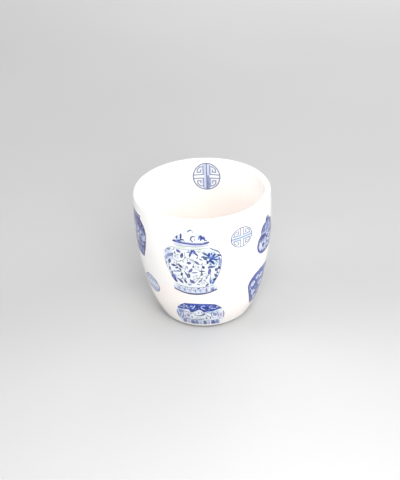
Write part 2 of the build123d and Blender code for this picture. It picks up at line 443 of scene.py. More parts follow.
    # foot band: pale, with fine upright strokes and loops above a heavy line
    art.stroke("grey", [(-10.8, -15), (-5.4, -16.4), (0, -16.8), (5.4, -16.4), (10.9, -15.2)], 0.5,
               taper=0.8)
    art.blob("pale", [(-11.6, -16.2), (-5, -17.4), (5, -17.4), (11.4, -16.2), (12, -18.6), (6, -21),
                      (0, -21.6), (-6, -21), (-12.2, -18.4)])
    art.blob("wash", [(-11.6, -16.4), (-8.4, -17), (-7.6, -20.4), (-12, -18.6)])
    art.blob("lilac", [(-4.6, -19.2), (-2.2, -18.8), (-1.8, -21), (-4.4, -21)])
    art.blob("lilac", [(5.6, -16.8), (8.2, -16.6), (8, -19.8), (5.8, -20)])
    art.blob("soft", [(8.8, -17.6), (11, -17.4), (11.6, -19.2), (9.4, -20)])
    for i in range(15):
        u = -11.2 + 1.6 * i
        drop = 0.0135 * u * u
        art.leaf(("ground", "grey", "ground", "line")[i % 4], (u, -19.2 + drop), 3, 0.6, 90 - 2 * u)
    for i, u in enumerate((-8.2, -5, -1.4, 2.4, 5.4)):
        art.ring("line", (u, -18 + 0.0125 * u * u), 0.95, 0.34, 20 * i, 20 * i + 290, steps=20)
    art.leaves((
        (2, -17.4, 1.8, 0.8, 10, "ink"), (9.8, -19.1, 2.2, 0.9, 12, "steel"),
        (6.4, -19.6, 1.8, 0.8, 30, "steel")))
    art.stroke("steel", [(-12.4, -18.7), (-7, -21.1), (0, -21.8), (7, -21.1), (12.4, -18.9)], 1.4,
               taper=0.7)
    art.stroke("ink", [(-9.6, -20.4), (-3, -21.8), (4, -21.9), (9, -20.7)], 0.6, taper=0.5)
    return art


LEAF_SCALE = (1.06, 1.15)      # of the ginger jar's leaves: length, width
VEINED_WIDTH = 1.35            # leaves listed as wider than this have a vein

# u, v, length, width, angle and tone of each leaf on the ginger jar's body, before it is scaled
JAR_LEAVES = (
    (-7.4, 8.5, 3.1, 1.6, -30, "violet"), (-5.6, 5.8, 3.7, 1.6, 73, "ink"),
    (-12, 5.4, 4, 1.5, 42, "line"), (-13.6, 4.8, 2.8, 1.2, 82, "soft"),
    (-13.3, 0.7, 3.6, 1.4, 76, "ink"), (-11, -1.6, 3.1, 1.5, -8, "ink"),
    (-7, -1.7, 3.4, 1.35, -48, "ink"), (-8.2, -0.5, 2, 1, 20, "steel"),
    (-9.3, -3.1, 2.2, 1.1, 25, "violet"), (-1.9, 1, 2.7, 1.6, -4, "ink"),
    (2.6, 1.3, 3.6, 1.4, -50, "steel"), (6, -1.9, 2.5, 1.35, -72, "ink"),
    (-1.3, -4.2, 3.2, 1.45, 50, "violet"), (5, -4.7, 3.4, 1, -2, "steel"),
    (4.7, -6.6, 2.6, 0.9, 84, "steel"), (0.8, -5.6, 4, 0.9, 6, "line"),
    (9.1, -5.3, 4.6, 1.5, 74, "violet"), (10.3, -2.1, 3.9, 1.25, 0, "violet"),
    (12.8, -4.3, 2.5, 1.5, 78, "ink"), (12.4, -8.5, 3.3, 1.4, -64, "ink"),
    (15.1, 0.5, 5.2, 1.3, 86, "soft"), (14.5, -3.3, 2.4, 1.2, 78, "ink"),
    (11.5, -11.1, 2.9, 1.3, 38, "ink"), (10.6, -13.3, 3, 1.2, 58, "mid"),
    (9.2, -12.4, 3.6, 1.1, 86, "mid"), (7.1, -14.8, 2.8, 1.1, 48, "steel"),
    (-11.8, -10.4, 5.2, 2.3, 104, "mid"), (-10.8, -12.6, 2.8, 1.3, 130, "ink"),
    (-7.6, -12.4, 3.7, 1.5, -55, "ink"), (-8.7, -11.2, 2, 0.9, -40, "ink"),
    (-5, -12.3, 3.3, 1.1, -64, "ink"), (-1.1, -12.2, 3.5, 1.9, -42, "violet"),
    (-2.9, -8, 3.6, 1.9, 78, "steel"), (-4.2, -6.6, 2.6, 0.9, 104, "steel"),
    (-6.8, -7.3, 2.6, 1.1, 66, "ink"), (-8.6, -5.3, 2.6, 1, 2, "line"),
    (-7.2, -3.9, 2, 0.9, -68, "ink"), (-13, 8.8, 2.8, 0.9, 20, "line"), (-15, 3, 3.4, 1.2, 78, "grey"),
    (-13.6, -4.4, 3, 1.1, 78, "line"), (-15.3, -0.9, 2.8, 0.9, 82, "grey"),
    (-12.4, -6.9, 2.2, 0.9, 60, "steel"), (8.5, 1.3, 2.4, 1.2, 80, "ink"),
    (7.2, 4, 3.4, 1.45, -50, "ink"), (7.4, 7.1, 3.4, 1.3, -40, "steel"), (6.2, 5.2, 2.4, 1, 8, "steel"),
    (15, 5.2, 2.7, 1.1, -30, "ink"), (14.9, 2.9, 2.4, 0.9, 96, "mid"),
    (-10.6, -5.9, 2.2, 0.8, -20, "line"), (-9.6, 7.2, 1.8, 0.8, 100, "steel"),
    (4.9, 3.4, 2.2, 0.9, -30, "line"), (3, 4.6, 2, 0.7, 60, "line"), (0.4, -1.4, 2, 0.8, 84, "steel"),
    (3.4, -11.8, 3, 1, 46, "line"), (2.2, -14.2, 2.2, 0.8, -20, "line"),
    (-2.8, -14.6, 2.4, 0.8, 10, "line"), (7.2, -9.4, 2.6, 0.9, 70, "line"),
    (13.4, -6.4, 1.8, 0.9, 100, "steel"), (-3.2, -2, 2.2, 0.8, 96, "line"),
)


def draw_fish_bowl():
    """Wide bowl: a cobalt cloud collar, a washed river scene, and lappets at the foot."""
    art = Drawing(fish_bowl_outline())
    art.blob("wash", [(-14, 2), (-13.4, -4), (-10.4, -9.6), (-6, -9.8), (-7, -3), (-9, 3)])
    art.blob("lilac", [(-9.5, 1.2), (-6.4, 1.8), (-6.2, -3.4), (-7.6, -7.2), (-9.4, -6.4)])
    art.blob("lilac", [(9.6, 2), (12.8, 1), (12.8, -4.2), (10.2, -4.6)])
    art.blob("sea", [(3.4, 3), (10.6, 4), (11.6, 2), (6, 1.6)])
    art.blob("sea", [(-6.6, -1.8), (-5, -2.4), (-5.4, -6.6), (-6.8, -6)])

    # river scene: hills, a shore, reeds and boats in diluted blue
    art.blob("soft", [(-12.6, 2.6), (-11, 3.2), (-9.4, 2), (-10.6, 0.2), (-12.2, 0)])
    art.blob("line", [(-2.4, -1.4), (-0.4, -0.6), (1.4, 0.6), (2.6, 2.2), (3.2, 0.8), (2, -0.8),
                      (0.2, -1.3)])
    art.blob("soft", [(7.6, 1.6), (8.8, 1.6), (10, 0.2), (9.2, -1.8), (7.8, -1)])
    art.blob("soft", [(-7.6, -0.2), (-6.2, -0.6), (-6.6, -2.6), (-7.8, -2.2)])
    for path, width in (([(-5.4, -5), (-2.4, -5.2), (0.4, -4.6), (2.2, -5)], 0.8),
                        ([(-9, 1.8), (-6.4, 1.9), (-4.2, 0.9)], 0.5),
                        ([(-1.8, -2.8), (1.4, -3.4), (3.6, -4.2), (6.4, -4.4)], 0.45),
                        ([(-3.6, -1), (-1, -0.8), (1.6, -0.4), (4.2, 0.4)], 0.55),
                        ([(-13.6, 0.8), (-13.4, -2.2), (-12.6, -5.2)], 0.8),
                        ([(-10, 0.6), (-10.2, -2.4), (-10.8, -5.6)], 0.5),
                        ([(5, 1.8), (6.6, 0.8), (7, -1.8), (8, -4)], 0.5),
                        ([(13.6, 2.4), (13.8, -0.8), (13.2, -4.6)], 0.6),
                        ([(9.8, 2.8), (10.6, 0), (10.4, -2.8)], 0.5)):
        art.stroke("line", path, width)
    for u, v, length, angle, tone in (
            (-11.8, -1.8, 3.4, 82, "line"), (-9, -2.8, 3, 74, "grey"), (-4.8, -2.6, 2.8, 96, "grey"),
            (4.6, -1.2, 2.6, 120, "grey"), (6, -2.8, 3, 100, "line"), (12, -1.2, 3.2, 80, "grey"),
            (3.6, -2.2, 2, 60, "grey"), (-5.4, 0.4, 2.2, 20, "grey"), (4.2, 2.2, 2.4, 160, "line"),
            (-2.4, -3.6, 3, 5, "grey"), (-0.6, 2, 2.2, 80, "grey"), (1.2, 2.2, 1.8, 110, "line"),
            (-3, 0.6, 2.4, 10, "grey"), (8.6, -3.6, 2.4, 20, "wash"), (-8.4, -5.2, 3.2, 70, "line"),
            (3.8, -3.7, 1.8, 80, "ink"), (0.6, -4.7, 2.6, 4, "steel"), (7, 1.4, 2, 70, "line"),
            (-7, -5.4, 2.4, 100, "line"), (-11, -4.4, 2.4, 100, "line")):
        art.leaf(tone, (u, v), length, 0.8, angle)

    # foot: lappets
    for i, tone in enumerate(("soft", "lilac", "line", "soft", "wash", "line", "wash", "mid", "soft")):
        u = -9.6 + 2.4 * i
        art.blob(tone, [(u - 1.05, -10), (u - 1.05, -6.8), (u, -5.5), (u + 1.05, -6.8),
                        (u + 1.05, -10)], steps=3)
        art.leaf("steel" if i in (5, 7) else "line", (u, -8.4), 3, 0.5, 90)
    for u in (1.2, 5.7):
        art.stroke("ground", [(u, -10), (u, -7.5), (u, -5.8)], 0.5, taper=0.9)
    art.stroke("soft", [(-11.4, -5.4), (-4, -5.9), (4, -5.9), (11.4, -5.4)], 0.4, taper=0.8)

    # cloud collar: cobalt with a scalloped lower edge, pale scrolls and veins
    top = [(-13.4, 5), (-12.2, 7), (-9.6, 9.3), (0, 10), (8.9, 9.3), (11.8, 6.9), (13, 5)]
    edge = [(11.4, 5), (9.4, 4), (7.4, 3.2), (4.6, 3.2), (2.7, 2.5), (1.5, 4), (-0.1, 5), (-1.5, 4.2),
            (-3, 3.2), (-5, 1.9), (-6.3, 4.5), (-8.6, 4.3), (-12.4, 3.8)]
    art.blob("wash", [(u, v - 0.9) for u, v in top + edge], steps=4)
    art.blob("royal", top + edge, steps=4)
    art.stroke("deep", [(-12.8, 4.3), (-8.6, 4.7), (-6.2, 4.9), (-5, 2.5), (-3, 3.6), (-1.5, 4.6),
                        (-0.1, 5.4), (1.5, 4.4), (2.7, 3), (4.6, 3.7), (7.4, 3.7), (9.4, 4.5),
                        (12.4, 5.3)], 0.7, taper=0.8)
    art.stroke("steel", [(5.4, 9.4), (8.7, 9), (11.4, 6.7), (12.8, 4.9)], 0.55, taper=0.7)
    for u, v, width, height, angle in (
            (-10.2, 6.8, 4.6, 2, 20), (-1, 7.4, 3, 2.8, 70), (4.6, 6.4, 2.4, 3.4, 100),
            (9.6, 7.4, 3, 2, -40), (-3.6, 3.6, 2.6, 1.3, 10), (-6.6, 8.4, 3.6, 1.1, 0)):
        art.oval("deep", (u, v), width, height, angle=angle)
    for path in ([(-7.2, 8), (-7.4, 6.6), (-6.4, 5.6)], [(-2.4, 8.4), (-3.2, 6.6), (-4.4, 5)],
                 [(1.4, 8), (1.3, 6.8), (1.9, 5.6), (3.4, 5.2)], [(1.5, 7.8), (2.6, 8.3), (3.6, 7.8)],
                 [(7, 5.4), (8.4, 5.6), (9.6, 5.4)], [(-12.4, 5.4), (-11.2, 6), (-9.4, 5.6),
                 (-8.6, 6.2)]):
        art.stroke("wash", path, 0.62, taper=0.5)
    art.oval("wash", (-4.6, 7.3), 1.5, 1.2)
    art.oval("royal", (-4.6, 7.3), 0.7, 0.6)
    art.ring("wash", (6.9, 7), 0.95, 0.45, 40, 340, steps=20)
    for u, v, radius, start in ((-8.8, 7.6, 0.9, 200), (10.4, 6.6, 0.8, 340)):
        art.curl("wash", (u, v), radius, 0.36, start)
    for u, v, angle in ((-11.6, 6.8, 40), (-5.8, 6.2, 100), (0.2, 8.8, 10), (5, 8.6, 35),
                        (8.4, 7.6, 120), (-2.2, 5.2, 60), (3.6, 4.4, 10), (5.6, 5, 60), (-9.6, 8.4, 20),
                        (-0.4, 6.2, 90)):
        art.leaf("bright", (u, v), 1.8, 0.65, angle)
    return art


def draw_round_pot():
    """Lidded pot: a forked knob, a shaded lid, and peonies within a heavy outline."""
    art = Drawing(round_pot_outline(), ground="soft")
    art.blob("soft", [(-7.8, 2.8), (-7.4, 5.8), (-3.4, 8.4), (0, 8.8), (3.4, 8.4), (7.4, 5.8),
                      (7.8, 2.8), (0, 1.6)])
    for side in (-1, 1):
        art.leaf("steel", (6.2 * side, 6), 3.6, 1.7, -62 * side)
        art.leaf("mid", (3.8 * side, 7), 3.4, 1.6, -30 * side)
        art.leaf("mid", (4.8 * side, 4.6), 3.6, 1.5, -20 * side)
        art.leaf("wash", (2.6 * side, 5.4), 2.8, 1, -56 * side)
        art.stroke("steel", [(7.5 * side, 2.8), (7.4 * side, 5), (5.6 * side, 7.6), (2.2 * side, 8.6)],
                   0.7)
    for i in range(7):
        art.stroke("violet", [(-6 + 2 * i, 3.4), (-5 + 1.66 * i, 5.8), (-3.3 + 1.1 * i, 8.2)],
                   0.34)
    art.blob("ink", [(-2.2, 8.4), (-2.1, 10.2), (-1.2, 11.2), (-0.4, 10.2), (0.3, 10), (1.1, 11),
                     (1.9, 10), (2.1, 8.6)], steps=3)
    art.leaf("line", (0, 9.2), 1.9, 0.6, 90)
    art.stroke("wash", [(-7.4, 2.9), (0, 1.9), (7.4, 2.9)], 0.5, taper=0.8)

    # belly: a dark shoulder, then flowers, and the outline over them
    art.blob("violet", [(-8.4, 2.4), (0, 1.6), (8.4, 2.4), (9.8, 0.4), (5, -0.8), (0, 0.2), (-5, -0.8),
                        (-9.8, 0.4)])
    art.blob("lilac", [(-9.6, -4.4), (-6.6, -3.8), (-6.2, -8.6), (-8.2, -7.6)])
    for centre, start in (((-4.8, -5.2), 10), ((4.2, -4), 40), ((0.4, -9.2), 70), ((0.2, -1.6), 20)):
        art.spray("wash", centre, 7, 2.6, 1.2, start=start, reach=0.95)
        art.spray("ground", centre, 7, 1.5, 0.6, start=start, reach=1.3)
        art.oval("violet", centre, 3, 2.6)
        art.oval("ink", centre, 1.7)
        art.oval("mid", centre, 0.6)
    art.leaves((
        (-8.2, -3, 3.4, 1.5, 125, "ground"), (-7.4, -1.2, 3.8, 1.5, -25, "steel"),
        (-2.2, -0.6, 3.4, 1.4, -40, "ink"), (8.2, -0.8, 3.4, 1.4, 118, "ink"),
        (-6.4, -8.4, 3.2, 1.3, -40, "violet"), (-0.6, -5, 3.2, 1.3, 70, "violet"),
        (8.2, -6, 3, 1.3, 100, "ink"), (-3.2, -9.4, 3, 1.3, 165, "violet"),
        (4.4, -8.8, 3, 1.3, 20, "ink"), (-8.4, -6, 2.6, 0.9, -60, "wash"),
        (3.4, -0.8, 2.8, 1.1, 150, "ink"), (-9.2, -1.6, 2.6, 1, 100, "steel"),
        (1.6, -6.6, 2.4, 0.9, 120, "mid"), (6.6, -8, 2.4, 0.9, 60, "mid")), vein="soft")
    art.sides("violet", [(7.9, 2.2), (10.2, -0.6), (10.5, -4.4), (8.6, -8.1), (4.6, -10.5)], 1.1, 0.6)
    art.stroke("ink", [(-4.8, -10.3), (0, -10.6), (4.8, -10.3)], 1, taper=0.9)
    return art


def draw_prunus_vase():
    """Shouldered vase: white prunus blossoms on a washed cobalt ground like cracked ice."""
    art = Drawing(prunus_vase_outline(), ground="mid")
    rng = random.Random(11)
    for _ in range(60):
        centre = (rng.uniform(-12, 12), rng.uniform(-12.5, 11.5))
        art.leaf(rng.choice(("violet", "mid", "mid", "soft")), centre, rng.uniform(2, 4.6),
                 rng.uniform(1, 2.2), rng.uniform(0, 180))
    for _ in range(30):
        start = Vector((rng.uniform(-12, 12), rng.uniform(-12, 11)))
        middle = start + polar(rng.uniform(1.2, 2.4), rng.uniform(0, 360))
        art.stroke("deep", [start, middle, middle + polar(1.6, rng.uniform(0, 360))], 0.26, steps=2)
    for branch in ([(-6, -12.5), (-5, -6), (-8, 0), (-5, 6), (-8, 9)],
                   [(-5, -6), (0, -3), (2, 3), (7, 7)], [(0, -3), (5, -4), (9, 1)]):
        art.stroke("violet", branch, 0.9)
    blossoms = ((-8.8, 4.3, 2.2), (-5.2, 7.4, 1.7), (-6.4, -3.4, 2), (-0.8, 6.4, 2.1), (0.8, 0.2, 2.3),
                (5.8, 5.2, 2.2), (7.2, -1.6, 2), (3, -6.6, 1.9), (-2.6, -9, 1.8), (10.2, 3, 1.6))
    for i, (u, v, radius) in enumerate(blossoms):
        art.blossom("wash", "mid", (u, v), radius, start=31 * i, edge="violet")
    for u, v, length, angle in ((-8.2, -1.4, 3.6, -58), (-5.4, -6.6, 3, -62), (-10.4, 1.4, 2, 70),
                                (3.6, 9.2, 2.4, 10), (-2.6, 2, 2.2, 40), (4.6, -10.2, 2.2, 70),
                                (8.8, 7, 2.2, -40), (-1.6, -5.2, 2, 20)):
        art.leaf("wash", (u, v), length, 0.95, angle)
    for u, v, width in ((-9.6, 0.2, 2), (-6.4, 1.4, 1.8), (-9, 8, 2.2), (3.2, 3.6, 1.8),
                        (-2.6, 9.8, 2)):
        art.oval("deep", (u, v), width, 1.3, angle=30)
    art.sides("violet", [(5.6, -13.1), (10, -3.8), (12.6, 3.8), (11, 9), (4.4, 11.8)], 0.9, 0.8)
    art.stroke("deep", [(-4.6, 12.1), (0, 12.3), (4.6, 12.1)], 0.7, taper=0.9)
    art.fill("wash", [(-4.4, 12.5), (4.4, 12.5), (4.4, 13.3), (-4.4, 13.3)])
    return art


def draw_baluster_jar():
    """Covered jar: dark lid and foot, with a band of mottled flowers between them."""
    art = Drawing(baluster_jar_outline(), ground="soft")
    art.blob("violet", [(-6.9, 13.7), (6.9, 13.7), (6.8, 11.2), (9.9, 9.2), (11.6, 5.6), (8, 5), (3, 6),
                        (-3, 6), (-8, 5), (-11.6, 5.6), (-9.9, 9.2), (-6.8, 11.2)], steps=4)
    for i in range(7):
        u = -9 + 3 * i
        art.curl("soft", (u, 8.6 - 0.02 * u * u), 1.1, 0.42, 60 * i)
    for u, v, width in ((-4, 8.2, 2.8), (4.4, 8, 3), (0.2, 10.6, 3), (7.8, 7.4, 2.4), (-7.8, 7.4, 2.4)):
        art.oval("ink", (u, v), width, 1.2, angle=20)
    art.stroke("ink", [(-6.7, 11.3), (0, 11), (6.7, 11.3)], 0.8, taper=0.8)
    art.stroke("wash", [(-6.4, 12.4), (0, 12.1), (6.4, 12.4)], 0.4, taper=0.8)
    rng = random.Random(5)
    for _ in range(64):
        centre = (rng.uniform(-11.6, 11.6), rng.uniform(-5, 5))
        art.leaf(rng.choice(("soft", "line", "steel", "wash", "mid", "violet")), centre,
                 rng.uniform(1.8, 3.6), rng.uniform(0.8, 1.5), rng.uniform(0, 180))
    for i, u in enumerate((-8.8, -3.2, 2.4, 6.2, 9.4)):
        art.blossom("wash", "violet", (u, 0.6 + (1.1 if i % 2 else -1.4)), 1.7, start=25 * i,
                    edge="line")
    for u, v, angle in ((7, 1.4, 30), (0.2, 2.6, 60), (-1.2, -2.8, 10), (9.6, -2.6, 70),
                        (4.4, -1.6, 140)):
        art.leaf("ink", (u, v), 3.2, 1.3, angle)
    art.blob("violet", [(-11.8, -3.6), (-6, -5.8), (0, -5), (6, -5.8), (11.8, -3.6), (10.4, -9),
                        (7, -14), (-7, -14), (-10.4, -9)], steps=4)
    for i in range(6):
        u = -7.5 + 3 * i
        art.blob("mid", [(u * 0.86 - 0.8, -12.6), (u - 1, -8.8), (u, -6.6), (u + 1, -8.8),
                         (u * 0.86 + 0.8, -12.6)], steps=3)
        art.leaf("soft", (u * 0.95, -9.6), 4.2, 0.8, 90 - 1.6 * u)
    art.sides("ink", [(6.6, -13.7), (10.1, -5.8), (11.7, 1.6), (10.5, 7.8), (6.3, 11.3)], 0.75, 0.8)
    art.stroke("ink", [(-6.8, -13.2), (0, -13.4), (6.8, -13.2)], 0.7, taper=0.8)
    return art


def draw_fret(radii, turn, ground, line, bar, stripes):
    """A medallion of four key frets about a bar. `stripes` are the tones beside the bar: one side,
    then the other side's upper and lower half. It is drawn on a disc and fitted to the radii."""
    art = Drawing(oval_outline(radii), ground=ground)
    size = 8.9                 # radius of the disc that the frets are drawn on

    def place(u, v):
        flat = turned((u, v), turn)
        return Vector((flat.x * radii[0], flat.y * radii[1])) / size

    def run(tone, points, width):
        for a, b in zip(points, points[1:]):
            a, b = Vector(a), Vector(b)
            along = (b - a).normalized() * (width / 2)
            across = Vector((-along.y, along.x))
            art.fill(tone, [place(*p) for p in (a - along + across, a - along - across,
                                                b + along - across, b + along + across)])

    for tone, (u, low, high) in zip(stripes, ((1, -8, 8), (-1, 0, 8), (-1, -8, 0))):
        run(tone, [(u, low), (u, high)], 1.35)
    for side in (-1, 1):
        for rise in (-1, 1):
            run("pale", [(2.7 * side, 1.7 * rise), (2.7 * side, 5.4 * rise)], 0.8)
            run(line, [(8 * side, 1.15 * rise), (2.05 * side, 1.15 * rise),
                       (2.05 * side, 7 * rise)], 0.55)
            run(line, [(2.05 * side, 6.4 * rise), (4.2 * side, 6.1 * rise), (5.6 * side, 4.7 * rise),
                       (5.9 * side, 2.8 * rise), (3.8 * side, 2.8 * rise), (3.8 * side, 4.3 * rise)],
                       0.6)
    run(bar, [(0, -8.3), (0, 8.3)], 0.6)
    steps = 72
    inner = [place(*polar(size - 0.8, 360 * i / steps)) for i in range(steps + 1)]
    outer = [place(*polar(size - 0.1, 360 * i / steps)) for i in range(steps + 1)]
    for i in range(steps):
        art.fill(line, [inner[i], outer[i], outer[i + 1], inner[i + 1]])
    return art


# --- the cup's surface ---
LIP_ROUND = WALL / 2
LIP_CENTRE = (RIM_RADIUS - LIP_ROUND, CUP_HEIGHT - LIP_ROUND)


class Wall:
    """One face of the cup's wall: tangent arcs from the lip down. `side` is 1 outside, -1 inside."""

    def __init__(self, side, arcs):
        self.side = side
        self.arcs = []
        lean = math.radians(WALL_LEAN)
        x = LIP_CENTRE[0] + side * LIP_ROUND * math.cos(lean)
        z = LIP_CENTRE[1] + side * LIP_ROUND * math.sin(lean)
        for radius, turn in arcs:
            centre = (x - radius * math.cos(lean), z - radius * math.sin(lean))
            end = lean - math.radians(turn)
            self.arcs.append((centre, radius, lean, end))
            lean = end
            x, z = centre[0] + radius * math.cos(lean), centre[1] + radius * math.sin(lean)
        self.end = (x, z)

    def section(self, inset, steps):
        """Points down the wall, `inset` mm into the clay, with the given steps for each arc."""
        points = []
        for (centre, radius, start, end), count in zip(self.arcs, steps):
            reach = radius - inset * self.side
            for i in range(count):
                a = start + (end - start) * i / count
                points.append((centre[0] + reach * math.cos(a), centre[1] + reach * math.sin(a)))
        a = self.arcs[-1][3]
        points.append((centre[0] + reach * math.cos(a), centre[1] + reach * math.sin(a)))
        return points

    def at(self, height):
        """(radius of the wall, the clay's outward normal) at a height."""
        for centre, radius, start, end in self.arcs:
            if height >= centre[1] + radius * math.sin(end):
                break
        a = math.asin(max(-1.0, min(1.0, (height - centre[1]) / radius)))
        normal = (self.side * math.cos(a), self.side * math.sin(a))
        return centre[0] + radius * math.cos(a), normal


def arcs_outside():
    last = 90 + WALL_LEAN - BELLY[1] - HAUNCH[1]
    return [BELLY, HAUNCH, (HEEL_RADIUS, last)]


def arcs_inside():
    last = 90 + WALL_LEAN - BELLY[1] - WELL_TURN
    return [(BELLY[0] - WALL, BELLY[1]), (HAUNCH[0] - WALL, WELL_TURN), (WELL_RADIUS, last)]


OUTSIDE = Wall(1, arcs_outside())
INSIDE = Wall(-1, arcs_inside())
FLOOR_HEIGHT = INSIDE.end[1] - GLAZE / 2


def on_wall(wall, place, point, lift):
    """A drawing's point on the wall, seen square on from outside, and `lift` mm off the glaze."""
    azimuth, height, tilt = place
    across, up = turned(point, tilt)
    radius, (out, rise) = wall.at(height + up)
    bearing = math.radians(azimuth) + math.asin(max(-1.0, min(1.0, across / radius)))
    reach = radius + lift * out
    return Vector((reach * math.sin(bearing), -reach * math.cos(bearing),
                   height + up + lift * rise)) * MM


# --- making pieces ---
def add_piece(name, vertices, faces, materials, slots=None, creases=()):
    """A smooth-shaded mesh. `slots` gives each face's material, and `creases` the sharp edges."""
    mesh = bpy.data.meshes.new(name)
    mesh.from_pydata(vertices, [], faces)
    for material in materials:
        mesh.materials.append(material)
    mesh.polygons.foreach_set("material_index", slots or [0] * len(faces))
    mesh.polygons.foreach_set("use_smooth", [True] * len(faces))
    if creases:
        sharp = mesh.attributes.new("sharp_edge", "BOOLEAN", "EDGE")
        for edge in mesh.edges:
            sharp.data[edge.index].value = tuple(sorted(edge.vertices)) in creases
    mesh.validate()
    piece = bpy.data.objects.new(name, mesh)
    bpy.context.scene.collection.objects.link(piece)
    return piece


def triangles_of(art):
    """The drawing as flat triangles, each with the tone of the topmost shape that covers it."""
    points, faces = [], []
    for _, outline in art.shapes:
        faces.append(list(range(len(points), len(points) + len(outline))))
        points += outline
    clip = art.shapes[0][1]
    low = Vector((min(p.x for p in clip), min(p.y for p in clip)))
    high = Vector((max(p.x for p in clip), max(p.y for p in clip)))
    for i in range(int((high.x - low.x) / GRID) + 1):
        for j in range(int((high.y - low.y) / GRID) + 1):
            points.append(low + Vector((i + 0.5 * (j % 2), j)) * GRID)
    vertices, _, triangles, _, _, owned = delaunay_2d_cdt(points, [], faces, 1, TOLERANCE, True)
    spots = {}
    first = [spots.setdefault((round(p.x, DECIMALS), round(p.y, DECIMALS)), i)
             for i, p in enumerate(vertices)]
    painted = []
    for corners, owners in zip(triangles, owned):
        triangle = tuple(first[v] for v in corners)
        if 0 in owners and len(set(triangle)) == 3:
            painted.append((triangle, art.shapes[max(owners)][0]))
    return vertices, painted


def add_film(name, art, wall, place):
    """Lays a drawing on the wall as one closed film, its lower face just inside the glaze."""
    flat, painted = triangles_of(art)
    edge_tone = {}
    for triangle, tone in painted:
        for a, b in zip(triangle, triangle[1:] + triangle[:1]):
            edge_tone[(a, b)] = tone
    rim = [(a, b) for a, b in edge_tone if (b, a) not in edge_tone]

    used = sorted({v for triangle, _ in painted for v in triangle})
    index = {v: i for i, v in enumerate(used)}
    size = len(used)
    vertices = [on_wall(wall, place, flat[v], FILM) for v in used]
    vertices += [on_wall(wall, place, flat[v], -SINK) for v in used]
    tones = sorted({tone for _, tone in painted})
    faces, slots = [], []
    for (a, b, c), tone in painted:
        a, b, c = index[a], index[b], index[c]
        faces += [(a, b, c), (c + size, b + size, a + size)]
        slots += [tones.index(tone)] * 2
    for a, b in rim:
        i, j = index[a], index[b]
        faces.append((i, i + size, j + size, j))
        slots.append(tones.index(edge_tone[(a, b)]))
    if wall.side < 0:
        faces = [face[::-1] for face in faces]
    creases = {tuple(sorted((index[a] + k, index[b] + k))) for a, b in rim for k in (0, size)}
    piece = add_piece(name, vertices, faces, [TONE_MATERIALS[t] for t in tones], slots, creases)
    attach(piece, "root")
    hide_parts(name)


def revolve(name, section, materials):
    """A closed body of revolution from a section that starts and ends on the axis."""
    segments = 192
    vertices, rings = [], []
    for radius, height in section:
        if radius < ON_AXIS:
            rings.append([len(vertices)] * segments)
            vertices.append(Vector((0, 0, height)) * MM)
            continue
        rings.append(list(range(len(vertices), len(vertices) + segments)))
        for i in range(segments):
            a = math.tau * i / segments
            vertices.append(Vector((radius * math.sin(a), -radius * math.cos(a), height)) * MM)
    faces = []
    for lower, upper in zip(rings, rings[1:] + rings[:1]):
        for i in range(segments):
            j = (i + 1) % segments
            face = []
            for v in (lower[i], lower[j], upper[j], upper[i]):
                if v not in face:
                    face.append(v)
            if len(face) > 2:
                faces.append(tuple(face))
    return add_piece(name, vertices, faces, materials)


def lip_arc(radius, steps):
    """Points over the lip from the outer wall to the inner, without the ends."""
    angles = (math.radians(WALL_LEAN) + math.pi * i / steps for i in range(1, steps))
    return [(LIP_CENTRE[0] + radius * math.cos(a),
             LIP_CENTRE[1] + radius * math.sin(a)) for a in angles]


def add_glaze(material, inside):
    """The fired glaze: a closed thin coat over the outside, the lip and the inside."""
    lip = lip_arc(LIP_ROUND, 20)
    under = lip_arc(LIP_ROUND - GLAZE, 12)
    outer = OUTSIDE.section(0, (44, 20, 10))
    inner = INSIDE.section(0, (44, 6, 22))
    floor = inner[-1]
    dish = [(floor[0] * (1 - i / 4), floor[1]) for i in range(1, 5)]
    skin = [(FOOT_RADIUS, outer[-1][1])] + outer[::-1] + lip + inner + dish

    outer = OUTSIDE.section(GLAZE, (22, 10, 6))
    inner = INSIDE.section(GLAZE, (22, 4, 10))
    bottom = inner[-1]
    base = [(0.0, bottom[1]), (bottom[0] / 2, bottom[1])]
    back = base + inner[::-1] + under[::-1] + outer + [(FOOT_RADIUS, outer[-1][1])]
    glaze = revolve("glaze_coat", skin + back, [material, inside])
    lip_middle = RIM_RADIUS - LIP_ROUND
    for face in glaze.data.polygons:
        within = math.hypot(face.center.x, face.center.y) < lip_middle * MM
        face.material_index = int(within and face.center.z > FLOOR_HEIGHT * MM)
    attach(glaze, "root")
    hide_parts("glaze_coat")


# --- materials ---
PORCELAIN_IOR = 1.52
GLAZE_GLOSS = ((160, 3), (0.07, 0.13), (70, 1.5), 0.00006)
PAINTED_SHADE_HEIGHTS = (0.072, 0.052)     # metres above the table: where the painted warm shade starts, and where it is full
